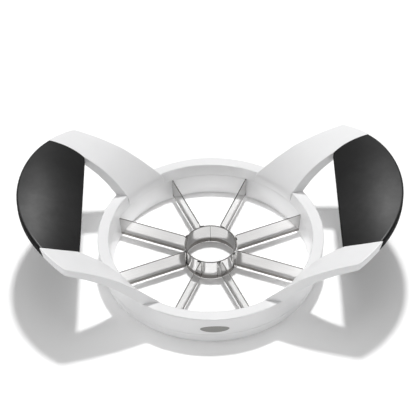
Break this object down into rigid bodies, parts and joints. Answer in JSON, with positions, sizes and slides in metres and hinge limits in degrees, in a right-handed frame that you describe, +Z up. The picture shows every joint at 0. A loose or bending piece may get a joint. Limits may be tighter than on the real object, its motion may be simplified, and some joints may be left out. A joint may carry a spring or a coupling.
{
  "type": "apple corer",
  "caption": "Round apple corer and divider: a white ring with radial blades round a core cutter, and two raised loop handles with soft black grips.",
  "frame": {"origin": "middle of the base ring, on the surface the corer stands on", "axes": "+Z up, +X from the left handle to the right handle, -Y towards the front wall with the badge"},
  "size_m": [0.1894, 0.1144, 0.053],
  "materials": {
    "white_plastic": "satin white moulding with a soft sheen",
    "blade_steel": "satin rolled strip, ground dark at the cutting edge",
    "soft_grip": "matt black soft overmoulding",
    "badge_plastic": "bare oval in a darker warm grey than the wall"
  },
  "bodies": {
    "root": {"upper_frame": "white_plastic", "lower_ring": "white_plastic", "core_ring": "blade_steel", "blade_1": "blade_steel", "blade_2": "blade_steel", "blade_3": "blade_steel", "blade_4": "blade_steel", "blade_5": "blade_steel", "blade_6": "blade_steel", "blade_7": "blade_steel", "blade_8": "blade_steel", "grip_right": "soft_grip", "grip_left": "soft_grip", "badge": "badge_plastic"}
  },
  "joints": []
}
